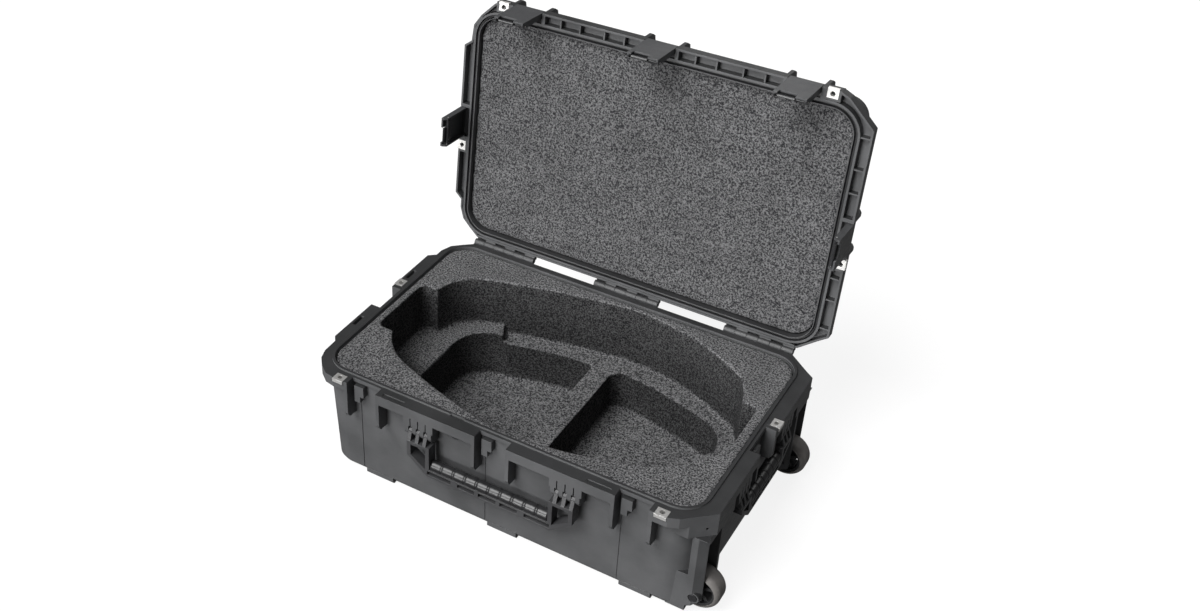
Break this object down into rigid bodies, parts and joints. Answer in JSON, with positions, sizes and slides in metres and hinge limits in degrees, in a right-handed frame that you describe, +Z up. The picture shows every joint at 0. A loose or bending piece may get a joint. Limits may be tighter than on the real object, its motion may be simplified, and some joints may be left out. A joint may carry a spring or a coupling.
{
  "type": "wheeled protective case",
  "caption": "Moulded protective carrying case with a hinged lid, throw latches, carry handles, wheels, a pull handle and a shaped foam insert for a drone.",
  "frame": {"origin": "on the ground plane under the middle of the foam well, on the middle runner", "axes": "+X along the front towards the wheels, +Y from the front to the hinges, +Z up"},
  "size_m": [0.8265, 0.6486, 0.7536],
  "materials": {
    "shell": "fine moulded texture, half matt",
    "foam": "open-cell foam, matt",
    "seal": "smooth soft rubber",
    "steel": "bright stainless",
    "latch": "half gloss moulded",
    "trigger": "half gloss moulded",
    "handle": "fine moulded texture",
    "grip": "glossy soft rubber",
    "washer": "plain",
    "sleeve": "plain",
    "tube": "satin anodised",
    "hub": "half matt moulded",
    "tyre": "matt, scuffed"
  },
  "bodies": {
    "base": {"base_shell": "shell", "base_foam": "foam", "hinge_pins": "steel", "base_padlock_plates": "steel", "front_handle_pins": "steel", "end_handle_pins": "steel", "wheel_axles": "steel", "wheel_washers": "washer", "valve_body": "trigger", "valve_cap": "trigger", "pull_sleeves": "sleeve"},
    "lid": {"lid_shell": "shell", "lid_foam": "foam", "gasket": "seal", "lid_padlock_plates": "steel", "latch_pins": "steel"},
    "latch_front_left": {"latch_cover_front_left": "latch", "trigger_pin_front_left": "steel"},
    "trigger_front_left": {"latch_trigger_front_left": "trigger"},
    "latch_front_middle": {"latch_cover_front_middle": "latch", "trigger_pin_front_middle": "steel"},
    "trigger_front_middle": {"latch_trigger_front_middle": "trigger"},
    "latch_front_right": {"latch_cover_front_right": "latch", "trigger_pin_front_right": "steel"},
    "trigger_front_right": {"latch_trigger_front_right": "trigger"},
    "latch_right": {"latch_cover_right": "latch", "trigger_pin_right": "steel"},
    "trigger_right": {"latch_trigger_right": "trigger"},
    "latch_left": {"latch_cover_left": "latch", "trigger_pin_left": "steel"},
    "trigger_left": {"latch_trigger_left": "trigger"},
    "front_handle": {"front_handle_frame": "handle", "front_handle_grip": "grip"},
    "end_handle": {"end_handle_frame": "handle", "end_handle_grip": "grip"},
    "wheel_front": {"wheel_hub_front": "hub", "wheel_tyre_front": "tyre"},
    "wheel_rear": {"wheel_hub_rear": "hub", "wheel_tyre_rear": "tyre"},
    "pull_handle": {"pull_tubes": "tube", "pull_grip": "handle"},
    "pull_button": {"pull_button": "trigger"}
  },
  "joints": [
    {"name": "lid_hinge", "type": "hinge", "parent": "base", "child": "lid", "pos_m": [0, 0.2565, 0.2307], "axis": [1, 0, 0], "range_deg": [0, 95.4]},
    {"name": "latch_front_left_hinge", "type": "hinge", "parent": "lid", "child": "latch_front_left", "pos_m": [-0.27, 0.31679, 0.73778], "axis": [-1, 0, 0], "range_deg": [-6, 100]},
    {"name": "trigger_front_left_hinge", "type": "hinge", "parent": "latch_front_left", "child": "trigger_front_left", "pos_m": [-0.27, 0.24402, 0.74365], "axis": [-1, 0, 0], "range_deg": [0, 18], "stiffness_Nm_per_rad": 0.2, "springref_deg": -11.46},
    {"name": "latch_front_middle_hinge", "type": "hinge", "parent": "lid", "child": "latch_front_middle", "pos_m": [0, 0.31679, 0.73778], "axis": [-1, 0, 0], "range_deg": [-6, 100]},
    {"name": "trigger_front_middle_hinge", "type": "hinge", "parent": "latch_front_middle", "child": "trigger_front_middle", "pos_m": [0, 0.24402, 0.74365], "axis": [-1, 0, 0], "range_deg": [0, 18], "stiffness_Nm_per_rad": 0.2, "springref_deg": -11.46},
    {"name": "latch_front_right_hinge", "type": "hinge", "parent": "lid", "child": "latch_front_right", "pos_m": [0.27, 0.31679, 0.73778], "axis": [-1, 0, 0], "range_deg": [-6, 100]},
    {"name": "trigger_front_right_hinge", "type": "hinge", "parent": "latch_front_right", "child": "trigger_front_right", "pos_m": [0.27, 0.24402, 0.74365], "axis": [-1, 0, 0], "range_deg": [0, 18], "stiffness_Nm_per_rad": 0.2, "springref_deg": -11.46},
    {"name": "latch_right_hinge", "type": "hinge", "parent": "lid", "child": "latch_right", "pos_m": [0.394, 0.29288, 0.4849], "axis": [0, 0.0941, 0.9956], "range_deg": [-6, 100]},
    {"name": "trigger_right_hinge", "type": "hinge", "parent": "latch_right", "child": "trigger_right", "pos_m": [0.393, 0.22021, 0.49177], "axis": [0, 0.0941, 0.9956], "range_deg": [0, 18], "stiffness_Nm_per_rad": 0.2, "springref_deg": -11.46},
    {"name": "latch_left_hinge", "type": "hinge", "parent": "lid", "child": "latch_left", "pos_m": [-0.393, 0.29288, 0.4849], "axis": [0, -0.0941, -0.9956], "range_deg": [-6, 100]},
    {"name": "trigger_left_hinge", "type": "hinge", "parent": "latch_left", "child": "trigger_left", "pos_m": [-0.392, 0.22021, 0.49177], "axis": [0, -0.0941, -0.9956], "range_deg": [0, 18], "stiffness_Nm_per_rad": 0.2, "springref_deg": -11.46},
    {"name": "front_handle_hinge", "type": "hinge", "parent": "base", "child": "front_handle", "pos_m": [0, -0.255, 0.179], "axis": [-1, 0, 0], "range_deg": [0, 90]},
    {"name": "end_handle_hinge", "type": "hinge", "parent": "base", "child": "end_handle", "pos_m": [0.395, 0, 0.179], "axis": [0, -1, 0], "range_deg": [0, 90]},
    {"name": "wheel_front_spin", "type": "hinge", "parent": "base", "child": "wheel_front", "pos_m": [0.384, -0.196, 0.046], "axis": [0, 1, 0], "continuous": true},
    {"name": "wheel_rear_spin", "type": "hinge", "parent": "base", "child": "wheel_rear", "pos_m": [0.384, 0.196, 0.046], "axis": [0, 1, 0], "continuous": true},
    {"name": "pull_handle_slide", "type": "slide", "parent": "base", "child": "pull_handle", "axis": [-1, 0, 0], "range_m": [0, 0.38]},
    {"name": "pull_button_press", "type": "slide", "parent": "pull_handle", "child": "pull_button", "axis": [1, 0, 0], "range_m": [0, 0.003], "stiffness_N_per_m": 400, "springref_m": -0.002}
  ]
}
